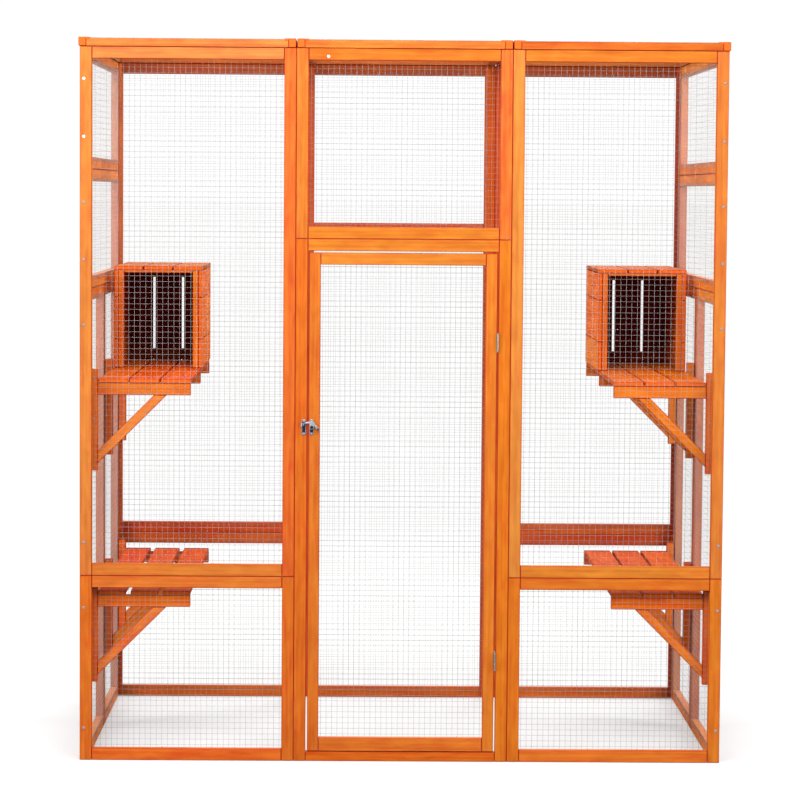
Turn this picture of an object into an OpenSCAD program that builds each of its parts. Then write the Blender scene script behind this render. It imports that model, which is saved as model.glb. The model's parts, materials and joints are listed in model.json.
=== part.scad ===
// Outdoor cat enclosure: a timber cage of three sections with wire net panels, a hinged front
// door with a hook latch, four plank shelves on brackets and a box house on each upper shelf.
// Sizes are in millimetres. X is the width, Y runs from the front to the back and Z is up.
// The origin is on the ground, in the middle of the outer bounds.

/* [Enclosure] */
// Width of each of the three wall sections
section_w = 536; // [420:1:700]
// Depth over the front and back panels
cage_d = 980; // [760:1:1300]
// Height of the walls
wall_h = 1782; // [1600:1:2200]
// Thickness of the wall panels
panel_t = 20; // [16:1:30]
// Width of the stiles and rails
stock_w = 30; // [24:1:45]
// Height of the joint between the lower and upper panels
lower_h = 466; // [380:1:600]
// Height of the doorway panel, where the panel over the door starts
doorway_h = 1311; // [1240:1:1450]
// Height of the lowest side panels
side_low_h = 1180; // [1100:1:1300]
// Height of the side panels above them
side_mid_h = 300; // [200:1:330]
// Height of the doorway's sill
sill_h = 24; // [18:1:40]
// Chamfer along the boards' edges
ease = 0.8; // [0.4:0.1:1.6]

/* [Door] */
// Gap between the door and the doorway at each side
door_side_gap = 4; // [3.4:0.2:6]
// Gap over the door
door_top_gap = 4; // [2:0.5:8]
// Gap under the door
door_foot_gap = 1.5; // [1:0.5:8]
// Width of the door's stiles
door_stile_w = 28; // [22:1:45]
// Height of the door's top rail
door_head_w = 30; // [22:1:45]
// Height of the door's bottom rail
door_foot_w = 34; // [22:1:60]

/* [Roof] */
// Thickness of the roof panels
roof_t = 22; // [16:1:30]
// Overhang past the walls all round
roof_over = 3; // [1:1:20]
// Gap between neighbouring roof panels
roof_gap = 3; // [1:0.5:8]
// Width of the rails that run from the front to the back
roof_side_w = 28; // [22:1:45]
// Depth of the front and rear rails
roof_end_w = 30; // [22:1:45]
// Height of the front and rear rails
roof_end_h = 19.5; // [14:0.5:21]
// Length of the lap where an end rail tucks under the side rail's lip
roof_lap = 9; // [5:0.5:15]
// Height of the lip over that lap
roof_lip_h = 5; // [3:0.5:8]

/* [Nets] */
// Thickness of the net's wires
wire = 1; // [0.8:0.1:2]
// Lap of the nets over the wall frames
net_lap = 8; // [5:1:12]
// Lap of the roof nets over the front and rear rails of the roof
roof_net_lap = 20; // [8:1:24]
// Pitch of the real net's wires
net_pitch = 14; // [10:1:25]
// Which of those wires are modelled: one in so many
net_step = 6; // [5:1:12]

/* [Shelves] */
// Reach of the planks from the side walls towards the middle
shelf_reach = 255; // [200:1:320]
// Thickness of the planks
plank_t = 10; // [8:0.5:18]
// Height of the upper arms' tops
upper_arm_z = 947; // [880:1:1010]
// Height of the lower arms' tops
lower_arm_z = 414; // [340:1:440]
// Gap between the planks of an upper shelf
upper_slit = 3; // [2:0.5:12]
// Gap between the planks of the lower left shelf
left_slit = 13; // [2:0.5:20]
// Gap between the planks of the lower right shelf
right_slit = 6.5; // [2:0.5:20]
// Gap between the planks and the battens on the wall
plank_wall_gap = 1.4; // [0.6:0.1:6]
// Distance from the front of the cage to the planks and the first bracket
shelf_front = 25; // [22:1:60]
// Distance from the back of the cage to the planks' rear ends
shelf_back = 40; // [30:1:80]
// Distance from the back of the cage to the rear bracket
rear_bracket_back = 50; // [40:1:120]
// Thickness of the brackets from front to back
bracket_t = 20; // [15:1:30]
// Height of the bracket's arm
arm_h = 30; // [22:1:40]
// Thickness of the battens on the wall
batten_t = 20; // [15:1:30]
// Length of the battens
batten_l = 254; // [220:1:300]
// Height of the battens over the arms' tops
batten_rise = 34; // [24:1:60]
// Width of the sloping braces
brace_w = 23; // [16:1:32]
// Distance of the brace's upper foot from the batten, along the arm
brace_reach = 172; // [120:1:200]

/* [Box houses] */
// Width of a house
house_w = 233; // [180:1:250]
// Distance from the side wall's outer face to the house
house_wall_gap = 45; // [43:1:60]
// Length of a house from front to back
house_l = 440; // [300:1:600]
// Height of a house's walls
house_h = 259; // [200:1:320]
// Thickness of its boards
house_t = 10; // [8:0.5:15]
// Height of the lowest side board
house_low_w = 77; // [50:1:110]
// Height of the middle side board
house_mid_w = 110; // [70:1:130]
// Width of the corner stiles at the front
house_stile_w = 15; // [10:1:25]
// Depth of the corner stiles and of the battens inside
house_stile_d = 20; // [12:1:30]
// Height of the thin rail over the opening
house_head_h = 7; // [5:0.5:20]
// Height of the battens across the back
house_batten_h = 30; // [20:1:45]
// Gap between the boards of the back
house_slit = 6.5; // [3:0.5:10]
// Gap between the boards of its roof
house_roof_slit = 3; // [2:0.5:10]
// Overhang of its roof at the front and back
house_over = 3; // [0:1:12]

/* [Hinges] */
// Diameter of the knuckles
barrel_d = 5; // [4.4:0.2:6]
// Diameter of the hinge pins
hinge_pin_d = 2.5; // [2:0.1:3]
// Height of a hinge
hinge_h = 45.6; // [36:0.2:70]
// Thickness of the hinge leaves
leaf_t = 1.2; // [0.8:0.1:1.4]
// Depth of the leaves between the door and the doorway
leaf_d = 18; // [12:0.5:19]
// Height of the lower hinge's middle over the door's foot
hinge_low = 229; // [120:1:320]
// Distance from the upper hinge's middle to the door's top
hinge_high = 222; // [120:1:320]

/* [Latch] */
// Height of the latch's pivot over the ground
latch_z = 841; // [600:1:1000]
// Distance from the door's free edge to the latch's pivot
latch_inset = 7.5; // [7:0.5:10]
// Width of the two small plates
latch_plate_w = 12.5; // [10:0.5:14]
// Height of the two small plates
latch_plate_h = 40; // [30:1:50]
// Thickness of the two small plates
latch_plate_t = 1.5; // [1:0.1:2]
// Radius of the two small plates' corners
latch_plate_r = 4.5; // [1:0.5:4.5]
// Diameter of the latch's pivot
pivot_d = 4; // [3:0.2:5]
// Thickness of the hook
hook_t = 2; // [1.5:0.1:3]
// Distance from the pivot to the stud that the hook drops over
stud_out = 19.5; // [18:0.5:22]
// Height of the stud over the pivot
stud_up = 6.5; // [5:0.5:8]
// Diameter of the stud
stud_d = 4; // [3:0.2:4.4]
// Diameter of the knob
knob_d = 7; // [5:0.5:9]
// Length of the knob
knob_l = 5; // [4:0.5:9]

/* [Hidden] */
$fn = 32;

// Clearances: boards butted in one frame, pieces that seat on each other, neighbouring panels,
// and the two layers of a net
joint_gap = 0.3;
seat_gap = 0.3;
panel_gap = 0.4;
weld_gap = 0.1;

// Running clearances on the radius, in the hinges and the latch
pin_fit = 0.03;
turn_fit = 0.05;
knuckle_gap = 0.3;
knuckles = 5;

cage_w = 3 * section_w;
side_d = cage_d - 2 * panel_t - 2 * seat_gap;
side_y = panel_t + seat_gap;
panel_w = section_w - panel_gap;
inner_x = cage_w / 2 - panel_t;
back_y = cage_d - panel_t;
roof_z = wall_h + seat_gap;
net_depth = 2 * wire + weld_gap;

door_w = section_w - panel_gap - 2 * stock_w - 2 * door_side_gap;
door_z = sill_h + door_foot_gap;
door_h = doorway_h - panel_gap - stock_w - door_top_gap - door_z;

// The latch's layers, counted outwards from the door's front face
plate_out = seat_gap + latch_plate_t;
boss_h = 1.6;
layer_gap = 0.1;
hook_back = plate_out + boss_h + layer_gap;
hook_front = hook_back + hook_t;
pivot_head_h = 1.4;
latch_out = hook_front + knob_l;
pivot_head_d = 7;
pivot_head_top_d = 5.6;
stud_clear = 0.8;
stud_show = 1;
hook_hub_d = 12;
hook_tip_w = 3.3;
hook_tip_drop = 4.5;
hook_tip_clear = 1.7;
hook_back_h = 5;
hook_tail_w = 7.4;
knob_x = 15.5;
knob_drop = 7;
knob_ease = 1;
knob_neck_h = 1.5;

// The front panels' outer face lies here, so that the outer bounds are centred on the origin
front_y = (latch_out - cage_d - roof_over) / 2;

// The brackets' battens stand on the side nets, and the arms butt against the battens
batten_x = inner_x - 2 * seat_gap - net_depth;
arm_x = batten_x - batten_t - seat_gap;
brace_angle = 45;
plank_x = batten_x - batten_t - plank_wall_gap;
shelf_x = inner_x - shelf_reach;
plank_l = cage_d - shelf_front - shelf_back;
bracket_ys = [
    shelf_front,
    cage_d / 2 - bracket_t / 2,
    cage_d - rear_bracket_back,
];

house_x = cage_w / 2 - house_wall_gap;
house_y = cage_d - shelf_back - house_l;
house_floor_z = upper_arm_z + seat_gap + plank_t + seat_gap;

hinge_x = door_w / 2 + door_side_gap / 2;
hinge_y = -barrel_d / 2;
hinge_zs = [door_z + hinge_low, door_z + door_h - hinge_high];
leaf_seat = 0.2;
leaf_clear = 0.6;
pin_head_h = 0.9;
knuckle_h = (hinge_h - (knuckles - 1) * knuckle_gap) / knuckles;

pivot_x = -door_w / 2 + latch_inset;

front_wood = [0.90, 0.42, 0.14];
door_wood = [0.88, 0.48, 0.18];
shade_wood = [0.72, 0.30, 0.10];
net_grey = [0.74, 0.75, 0.76];
steel_grey = [0.58, 0.58, 0.58];

// Puts what is drawn from the front face of the cage into the part's frame
module from_front() {
    translate([0, front_y, 0]) children();
}

// The cross-section of a board, with a small chamfer on each long edge
module eased(a, b) {
    polygon([
        [ease, 0], [a - ease, 0], [a, ease], [a, b - ease],
        [a - ease, b], [ease, b], [0, b - ease], [0, ease],
    ]);
}

// Boards along each axis, from their lowest corner
module board_x(length, deep, high) {
    rotate([90, 0, 90]) linear_extrude(length) eased(deep, high);
}

module board_y(length, wide, high) {
    translate([0, length, 0]) rotate([90, 0, 0]) linear_extrude(length) eased(wide, high);
}

module board_z(length, wide, deep) {
    linear_extrude(length) eased(wide, deep);
}

// A panel frame that stands in the XZ plane, its rails butted between full-height stiles
module panel_frame(w, h, stile = stock_w, head = stock_w, foot = stock_w) {
    rail_l = w - 2 * stile - 2 * joint_gap;
    for (x = [0, w - stile]) {
        translate([x, 0, 0]) board_z(h, stile, panel_t);
    }
    translate([stile + joint_gap, 0, 0]) board_x(rail_l, panel_t, foot);
    translate([stile + joint_gap, 0, h - head]) board_x(rail_l, panel_t, head);
}

// A panel of the front or back wall: section 0, 1 or 2 from the left, between two heights
module wall_panel(section, low, high, y, foot = stock_w) {
    x = -cage_w / 2 + section * section_w + panel_gap / 2;
    from_front() translate([x, y, low]) panel_frame(panel_w, high - low, foot = foot);
}

// A panel of a side wall, which stands in the YZ plane between the front and back walls
module side_panel(side, y, d, low, high) {
    x = side < 0 ? -inner_x : inner_x + panel_t;
    from_front() translate([x, y, low]) rotate([0, 0, 90]) panel_frame(d, high - low);
}

// A roof panel's side rail: its ends are rebated below the lip on the inner side
module roof_side_rail() {
    length = cage_d + 2 * roof_over;
    slot_h = roof_t - roof_lip_h;
    over = roof_lap;
    slot_w = roof_lap + joint_gap;
    slot_l = roof_end_w + joint_gap;
    difference() {
        board_y(length, roof_side_w, roof_t);
        for (y = [-over, length - slot_l]) {
            translate([roof_side_w - slot_w, y, -over]) {
                cube([slot_w + over, slot_l + over, slot_h + over]);
            }
        }
    }
}

// A roof panel's front or rear rail: a profile whose ends step down to pass under the lips
module roof_end_rail(w) {
    lap_h = roof_t - roof_lip_h - joint_gap;
    shoulder = roof_lap + joint_gap;
    length = w - 2 * (roof_side_w - roof_lap);
    translate([0, roof_end_w, 0]) rotate([90, 0, 0]) linear_extrude(roof_end_w) {
        polygon([
            [0, 0], [length, 0], [length, lap_h], [length - shoulder, lap_h],
            [length - shoulder, roof_end_h], [shoulder, roof_end_h], [shoulder, lap_h], [0, lap_h],
        ]);
    }
}

// The left edge and the width of each roof panel
function roof_x(section) = section == 0
    ? -cage_w / 2 - roof_over
    : -cage_w / 2 + section * section_w + roof_gap / 2;
function roof_w(section) = section == 1
    ? section_w - roof_gap
    : section_w + roof_over - roof_gap / 2;

module roof_frame(section) {
    w = roof_w(section);
    end_x = roof_side_w - roof_lap;
    from_front() translate([roof_x(section), -roof_over, roof_z]) {
        roof_side_rail();
        translate([w, 0, 0]) mirror([1, 0, 0]) roof_side_rail();
        for (y = [0, cage_d + 2 * roof_over - roof_end_w]) {
            translate([end_x, y, 0]) roof_end_rail(w);
        }
    }
}

// A flat net in the XZ plane: upright wires in a front layer, level wires in a layer behind it.
// The outermost wires run along the net's edges, and the others are shared out between them.
module net(w, h) {
    columns = ceil(w / (net_pitch * net_step));
    rows = ceil(h / (net_pitch * net_step));
    for (i = [0 : columns]) {
        translate([i * (w - wire) / columns, 0, 0]) cube([wire, wire, h]);
    }
    for (i = [0 : rows]) {
        translate([0, wire + weld_gap, i * (h - wire) / rows]) cube([w, wire, wire]);
    }
}

// A net over the opening of a wall panel, lapped on the frame's inner face
module wall_net(section, low, high, y) {
    x = -cage_w / 2 + section * section_w + panel_gap / 2 + stock_w - net_lap;
    w = panel_w - 2 * stock_w + 2 * net_lap;
    z = low + stock_w - net_lap;
    from_front() translate([x, y, z]) net(w, high - low - 2 * stock_w + 2 * net_lap);
}

module side_net(side, y, d, low, high) {
    x = side < 0 ? seat_gap + net_depth - inner_x : inner_x - seat_gap;
    w = d - 2 * stock_w + 2 * net_lap;
    z = low + stock_w - net_lap;
    from_front() translate([x, y + stock_w - net_lap, z]) rotate([0, 0, 90]) {
        net(w, high - low - 2 * stock_w + 2 * net_lap);
    }
}

// The nets' front faces in the front and back walls
front_net_y = panel_t + seat_gap;
back_net_y = back_y - seat_gap - net_depth;

// One bracket in the XZ plane, for the left wall: batten, arm and brace
module bracket(arm_top) {
    arm_z = arm_top - arm_h;
    foot = brace_w / sin(brace_angle);
    brace_top = arm_z - seat_gap;
    batten_z = arm_top + batten_rise - batten_l;
    translate([-batten_x, 0, batten_z]) board_z(batten_l, batten_t, bracket_t);
    translate([-arm_x, 0, arm_z]) board_x(arm_x - shelf_x, bracket_t, arm_h);
    translate([-arm_x, bracket_t, 0]) rotate([90, 0, 0]) linear_extrude(bracket_t) {
        polygon([
            [0, brace_top - brace_reach], [brace_reach, brace_top],
            [brace_reach - foot, brace_top], [0, brace_top - brace_reach + foot],
        ]);
    }
}

module brackets(arm_top) {
    from_front() for (y = bracket_ys) {
        translate([0, y, 0]) bracket(arm_top);
    }
}

// Three planks across the brackets' arms, for the left wall
module planks(arm_top, slit) {
    plank_w = (plank_x - shelf_x - 2 * slit) / 3;
    from_front() for (i = [0 : 2]) {
        translate([-plank_x + i * (plank_w + slit), shelf_front, arm_top + seat_gap]) {
            board_y(plank_l, plank_w, plank_t);
        }
    }
}

// The boards of a house's side walls, lowest first: heights and the gaps between them
module house_side() {
    top_w = house_h - house_low_w - house_mid_w - 2 * joint_gap;
    length = house_l - house_t - seat_gap;
    board_y(length, house_t, house_low_w);
    translate([0, 0, house_low_w + joint_gap]) board_y(length, house_t, house_mid_w);
    translate([0, 0, house_h - top_w]) board_y(length, house_t, top_w);
}

// Draws in the left house's own frame: its outer front corner on the shelf
module in_house() {
    from_front() translate([-house_x, house_y, house_floor_z]) children();
}

module house_sides() {
    in_house() for (x = [0, house_w - house_t]) {
        translate([x, 0, 0]) house_side();
    }
}

module house_front() {
    stile_x = house_t + seat_gap;
    head_w = house_w - 2 * (stile_x + house_stile_w + joint_gap);
    in_house() {
        for (x = [stile_x, house_w - stile_x - house_stile_w]) {
            translate([x, 0, 0]) board_z(house_h, house_stile_w, house_stile_d);
        }
        translate([(house_w - head_w) / 2, 0, house_h - house_head_h]) {
            board_x(head_w, house_stile_d, house_head_h);
        }
    }
}

module house_back() {
    board_w = (house_w - 2 * house_slit) / 3;
    batten_w = house_w - 2 * (house_t + seat_gap);
    batten_y = house_l - house_t - seat_gap - house_stile_d;
    in_house() {
        for (i = [0 : 2]) {
            translate([i * (board_w + house_slit), house_l - house_t, 0]) {
                board_z(house_h, board_w, house_t);
            }
        }
        for (z = [0, house_h - house_batten_h]) {
            translate([house_t + seat_gap, batten_y, z]) {
                board_x(batten_w, house_stile_d, house_batten_h);
            }
        }
    }
}

module house_roof() {
    board_w = (house_w - 2 * house_roof_slit) / 3;
    in_house() for (i = [0 : 2]) {
        translate([i * (board_w + house_roof_slit), -house_over, house_h + seat_gap]) {
            board_y(house_l + 2 * house_over, board_w, house_t);
        }
    }
}

// The knuckles of one hinge leaf and the leaf that they roll out of, on the axis at the origin.
// side is 1 for the doorway's leaf, which has the odd knuckles, and -1 for the door's leaf.
module hinge_leaf(side, bore_d) {
    leaf_x = door_side_gap / 2 - leaf_seat - leaf_t;
    edge_x = side > 0 ? leaf_x : -leaf_x - leaf_t;
    leaf_y = barrel_d / 2 + leaf_clear;
    difference() {
        union() {
            translate([edge_x, leaf_y, 0]) cube([leaf_t, leaf_d - leaf_clear, hinge_h]);
            for (i = [side > 0 ? 0 : 1 : 2 : knuckles - 1]) {
                translate([0, 0, i * (knuckle_h + knuckle_gap)]) {
                    cylinder(d = barrel_d, h = knuckle_h);
                    translate([edge_x, 0, 0]) cube([leaf_t, leaf_y + leaf_t / 2, knuckle_h]);
                }
            }
        }
        translate([0, 0, -layer_gap]) cylinder(d = bore_d, h = hinge_h + 2 * layer_gap);
    }
}

// Draws at the foot of each hinge's axis
module at_hinges() {
    from_front() for (z = hinge_zs) {
        translate([hinge_x, hinge_y, z - hinge_h / 2]) children();
    }
}

// A pin with a shallow head that rests on the top knuckle
module hinge_pin() {
    cylinder(d = hinge_pin_d, h = hinge_h + layer_gap);
    translate([0, 0, hinge_h + layer_gap]) {
        cylinder(d1 = barrel_d - leaf_clear, d2 = hinge_pin_d, h = pin_head_h);
    }
}

// Draws in the latch's frame: x and y in the door's plane from the pivot, z outwards
module at_pivot() {
    from_front() translate([pivot_x, 0, latch_z]) rotate([90, 0, 0]) children();
}

// The outline of the two small plates, centred on the pivot's height
module latch_plate_outline() {
    core_w = latch_plate_w - 2 * latch_plate_r;
    offset(r = latch_plate_r) square([core_w, latch_plate_h - 2 * latch_plate_r], center = true);
}

// The hook's outline: an arm over the stud with a drop at its tip, and a short tail for the knob
module hook_outline() {
    under = stud_up + stud_d / 2 + stud_clear;
    tip_in = stud_out + stud_d / 2 + hook_tip_clear;
    tip_out = tip_in + hook_tip_w;
    hub = hook_hub_d / 3;
    tail = hook_tail_w * sqrt(2) / 4;
    difference() {
        union() {
            circle(d = hook_hub_d);
            polygon([
                [-tip_out, stud_up - hook_tip_drop], [-tip_out, under],
                [-hub, under + hook_back_h], [hub, under + hook_back_h],
                [knob_x + tail, -knob_drop + tail], [knob_x - tail, -knob_drop - tail],
                [hub, -hub], [-hub, -hub],
                [-stud_out + stud_d / 2, under], [-tip_in, under], [-tip_in, stud_up - hook_tip_drop],
            ]);
            translate([knob_x, -knob_drop]) circle(d = hook_tail_w);
        }
        circle(d = pivot_d + 2 * turn_fit);
    }
}

module front_left_upper_frame() {
    color(front_wood) wall_panel(0, lower_h, wall_h, 0);
}

module front_left_lower_frame() {
    color(front_wood) wall_panel(0, 0, lower_h - panel_gap, 0);
}

module front_right_upper_frame() {
    color(front_wood) wall_panel(2, lower_h, wall_h, 0);
}

module front_right_lower_frame() {
    color(front_wood) wall_panel(2, 0, lower_h - panel_gap, 0);
}

module transom_frame() {
    color(front_wood) wall_panel(1, doorway_h, wall_h, 0);
}

module doorway_frame() {
    color(front_wood) wall_panel(1, 0, doorway_h - panel_gap, 0, sill_h);
}

module door_frame() {
    color(door_wood) from_front() translate([-door_w / 2, 0, door_z]) {
        panel_frame(door_w, door_h, door_stile_w, door_head_w, door_foot_w);
    }
}

module back_left_upper_frame() {
    color(shade_wood) wall_panel(0, lower_h, wall_h, back_y);
}

module back_left_lower_frame() {
    color(shade_wood) wall_panel(0, 0, lower_h - panel_gap, back_y);
}

module back_right_upper_frame() {
    color(shade_wood) wall_panel(2, lower_h, wall_h, back_y);
}

module back_right_lower_frame() {
    color(shade_wood) wall_panel(2, 0, lower_h - panel_gap, back_y);
}

module back_transom_frame() {
    color(shade_wood) wall_panel(1, doorway_h, wall_h, back_y);
}

module back_centre_frame() {
    color(shade_wood) wall_panel(1, 0, doorway_h - panel_gap, back_y);
}

// The places of the side panels: two low ones side by side, with two wide ones over them
side_half_d = (side_d - panel_gap) / 2;
side_rear_y = side_y + side_half_d + panel_gap;
side_mid_top = side_low_h + side_mid_h;

module left_top_frame() {
    color(front_wood) side_panel(-1, side_y, side_d, side_mid_top, wall_h);
}

module left_middle_frame() {
    color(front_wood) side_panel(-1, side_y, side_d, side_low_h, side_mid_top - panel_gap);
}

module left_front_frame() {
    color(front_wood) side_panel(-1, side_y, side_half_d, 0, side_low_h - panel_gap);
}

module left_rear_frame() {
    color(front_wood) side_panel(-1, side_rear_y, side_half_d, 0, side_low_h - panel_gap);
}

module right_top_frame() {
    color(front_wood) side_panel(1, side_y, side_d, side_mid_top, wall_h);
}

module right_middle_frame() {
    color(front_wood) side_panel(1, side_y, side_d, side_low_h, side_mid_top - panel_gap);
}

module right_front_frame() {
    color(front_wood) side_panel(1, side_y, side_half_d, 0, side_low_h - panel_gap);
}

module right_rear_frame() {
    color(front_wood) side_panel(1, side_rear_y, side_half_d, 0, side_low_h - panel_gap);
}

module roof_left_frame() {
    color(front_wood) roof_frame(0);
}

module roof_centre_frame() {
    color(front_wood) roof_frame(1);
}

module roof_right_frame() {
    color(front_wood) roof_frame(2);
}

module front_left_net() {
    color(net_grey) wall_net(0, lower_h, wall_h, front_net_y);
    color(net_grey) wall_net(0, 0, lower_h - panel_gap, front_net_y);
}

module front_right_net() {
    color(net_grey) wall_net(2, lower_h, wall_h, front_net_y);
    color(net_grey) wall_net(2, 0, lower_h - panel_gap, front_net_y);
}

module transom_net() {
    color(net_grey) wall_net(1, doorway_h, wall_h, front_net_y);
}

module door_net() {
    w = door_w - 2 * door_stile_w + 2 * net_lap;
    h = door_h - door_head_w - door_foot_w + 2 * net_lap;
    color(net_grey) from_front() {
        translate([-w / 2, front_net_y, door_z + door_foot_w - net_lap]) net(w, h);
    }
}

module back_left_net() {
    color(net_grey) wall_net(0, lower_h, wall_h, back_net_y);
    color(net_grey) wall_net(0, 0, lower_h - panel_gap, back_net_y);
}

module back_centre_net() {
    color(net_grey) wall_net(1, doorway_h, wall_h, back_net_y);
    color(net_grey) wall_net(1, 0, doorway_h - panel_gap, back_net_y);
}

module back_right_net() {
    color(net_grey) wall_net(2, lower_h, wall_h, back_net_y);
    color(net_grey) wall_net(2, 0, lower_h - panel_gap, back_net_y);
}

// The four nets of a side wall
module side_nets(side) {
    side_net(side, side_y, side_d, side_mid_top, wall_h);
    side_net(side, side_y, side_d, side_low_h, side_mid_top - panel_gap);
    side_net(side, side_y, side_half_d, 0, side_low_h - panel_gap);
    side_net(side, side_rear_y, side_half_d, 0, side_low_h - panel_gap);
}

module left_side_net() {
    color(net_grey) side_nets(-1);
}

module right_side_net() {
    color(net_grey) side_nets(1);
}

// The roof nets lie between the side rails, on the front and rear rails, which are lower
module roof_net() {
    y = roof_end_w - roof_over - roof_net_lap;
    d = cage_d - 2 * y;
    z = roof_z + roof_end_h + seat_gap;
    color(net_grey) from_front() for (section = [0 : 2]) {
        x = roof_x(section) + roof_side_w + seat_gap;
        w = roof_w(section) - 2 * roof_side_w - 2 * seat_gap;
        translate([x, y + d, z]) rotate([90, 0, 0]) net(w, d);
    }
}

module upper_left_shelf() {
    color(shade_wood) planks(upper_arm_z, upper_slit);
}

module upper_left_brackets() {
    color(front_wood) brackets(upper_arm_z);
}

module upper_right_shelf() {
    color(shade_wood) mirror([1, 0, 0]) planks(upper_arm_z, upper_slit);
}

module upper_right_brackets() {
    color(front_wood) mirror([1, 0, 0]) brackets(upper_arm_z);
}

module lower_left_shelf() {
    color(shade_wood) planks(lower_arm_z, left_slit);
}

module lower_left_brackets() {
    color(front_wood) brackets(lower_arm_z);
}

module lower_right_shelf() {
    color(shade_wood) mirror([1, 0, 0]) planks(lower_arm_z, right_slit);
}

module lower_right_brackets() {
    color(front_wood) mirror([1, 0, 0]) brackets(lower_arm_z);
}

module left_house_front() {
    color(front_wood) house_front();
}

module left_house_sides() {
    color(front_wood) house_sides();
}

module left_house_back() {
    color(shade_wood) house_back();
}

module left_house_roof() {
    color(front_wood) house_roof();
}

module right_house_front() {
    color(front_wood) mirror([1, 0, 0]) house_front();
}

module right_house_sides() {
    color(front_wood) mirror([1, 0, 0]) house_sides();
}

module right_house_back() {
    color(shade_wood) mirror([1, 0, 0]) house_back();
}

module right_house_roof() {
    color(front_wood) mirror([1, 0, 0]) house_roof();
}

module hinge_frame_leaves() {
    color(steel_grey) at_hinges() hinge_leaf(1, hinge_pin_d + 2 * pin_fit);
}

module hinge_door_leaves() {
    color(steel_grey) at_hinges() hinge_leaf(-1, hinge_pin_d + 2 * turn_fit);
}

module hinge_pins() {
    color(steel_grey) at_hinges() hinge_pin();
}

// The keeper on the doorway's stile: a plate with a headless stud for the hook
module latch_keeper() {
    plate_x = -stud_out;
    stud_z = plate_out + layer_gap;
    color(steel_grey) at_pivot() {
        translate([plate_x, 0, seat_gap]) linear_extrude(latch_plate_t) latch_plate_outline();
        translate([plate_x, stud_up, stud_z]) cylinder(d = stud_d, h = hook_front + stud_show - stud_z);
    }
}

// The plate on the door's stile, with the boss and the headed pivot that carry the hook
module latch_plate() {
    head_z = hook_front + layer_gap;
    color(steel_grey) at_pivot() {
        translate([0, 0, seat_gap]) linear_extrude(latch_plate_t) latch_plate_outline();
        translate([0, 0, seat_gap]) cylinder(d = 2 * pivot_d, h = plate_out + boss_h - seat_gap);
        translate([0, 0, seat_gap]) cylinder(d = pivot_d, h = head_z + pivot_head_h - seat_gap);
        translate([0, 0, head_z]) {
            cylinder(d1 = pivot_head_d, d2 = pivot_head_top_d, h = pivot_head_h);
        }
    }
}

// The hook with its knob, which turns on the pivot
module latch_hook() {
    neck = knob_d / 2 - knob_ease;
    top = knob_l + hook_t / 2;
    color(steel_grey) at_pivot() {
        translate([0, 0, hook_back]) linear_extrude(hook_t) hook_outline();
        translate([knob_x, -knob_drop, hook_back + hook_t / 2]) {
            rotate_extrude() polygon([
                [0, 0], [neck, 0], [neck, hook_t], [knob_d / 2, hook_t + knob_neck_h],
                [knob_d / 2, top - knob_ease], [neck, top], [0, top],
            ]);
        }
    }
}

front_left_upper_frame();
front_left_lower_frame();
front_right_upper_frame();
front_right_lower_frame();
transom_frame();
doorway_frame();
door_frame();
back_left_upper_frame();
back_left_lower_frame();
back_right_upper_frame();
back_right_lower_frame();
back_transom_frame();
back_centre_frame();
left_top_frame();
left_middle_frame();
left_front_frame();
left_rear_frame();
right_top_frame();
right_middle_frame();
right_front_frame();
right_rear_frame();
roof_left_frame();
roof_centre_frame();
roof_right_frame();
front_left_net();
front_right_net();
transom_net();
door_net();
back_left_net();
back_centre_net();
back_right_net();
left_side_net();
right_side_net();
roof_net();
upper_left_shelf();
upper_left_brackets();
upper_right_shelf();
upper_right_brackets();
lower_left_shelf();
lower_left_brackets();
lower_right_shelf();
lower_right_brackets();
left_house_front();
left_house_sides();
left_house_back();
left_house_roof();
right_house_front();
right_house_sides();
right_house_back();
right_house_roof();
hinge_frame_leaves();
hinge_door_leaves();
hinge_pins();
latch_keeper();
latch_plate();
latch_hook();
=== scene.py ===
"""Dressed scene of an outdoor timber cat enclosure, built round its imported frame.

Every piece is in metres in the frame's own axes: X to the right, Y from the front to the back and
Z up. Timber pieces, nets and screws stand for, or stand on, the nodes whose boxes they are made to.
The pieces' sizes are fields in millimetres; the studio's are in metres.
"""

import json
import logging
import math
import random
from collections.abc import Callable, Iterable, Sequence
from dataclasses import dataclass, field
from enum import Enum
from functools import cached_property, partial

import bmesh
import bpy
from bmesh.types import BMEdge, BMesh, BMFace, BMVert
from bpy.types import ID, Material, Node, NodeSocket, NodeTree, Object
from mathutils import Matrix, Vector


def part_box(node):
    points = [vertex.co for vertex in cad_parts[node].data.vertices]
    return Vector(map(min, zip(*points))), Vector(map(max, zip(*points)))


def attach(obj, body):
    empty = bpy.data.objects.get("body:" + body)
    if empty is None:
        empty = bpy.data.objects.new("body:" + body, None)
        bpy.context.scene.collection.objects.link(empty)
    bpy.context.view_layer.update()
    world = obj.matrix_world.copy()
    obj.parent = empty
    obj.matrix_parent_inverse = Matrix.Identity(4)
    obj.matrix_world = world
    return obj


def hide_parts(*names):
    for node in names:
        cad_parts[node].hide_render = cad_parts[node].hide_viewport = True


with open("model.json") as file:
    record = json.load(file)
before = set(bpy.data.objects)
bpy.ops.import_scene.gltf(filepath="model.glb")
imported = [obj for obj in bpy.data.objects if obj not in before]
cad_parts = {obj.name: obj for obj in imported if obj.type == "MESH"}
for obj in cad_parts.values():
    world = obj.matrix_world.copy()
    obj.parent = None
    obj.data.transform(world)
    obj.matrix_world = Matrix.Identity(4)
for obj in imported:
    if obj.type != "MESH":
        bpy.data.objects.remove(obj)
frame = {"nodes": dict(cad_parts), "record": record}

LOG = logging.getLogger("cat_enclosure")
MM = 0.001
WHITE = (1.0, 1.0, 1.0, 1.0)
FRONTWARDS = Vector((0, -1, 0))
Triple = tuple[float, float, float]
Box = tuple[Vector, Vector]
Outline = tuple[tuple[float, float], ...]
Inputs = dict[int | str, object]


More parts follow.
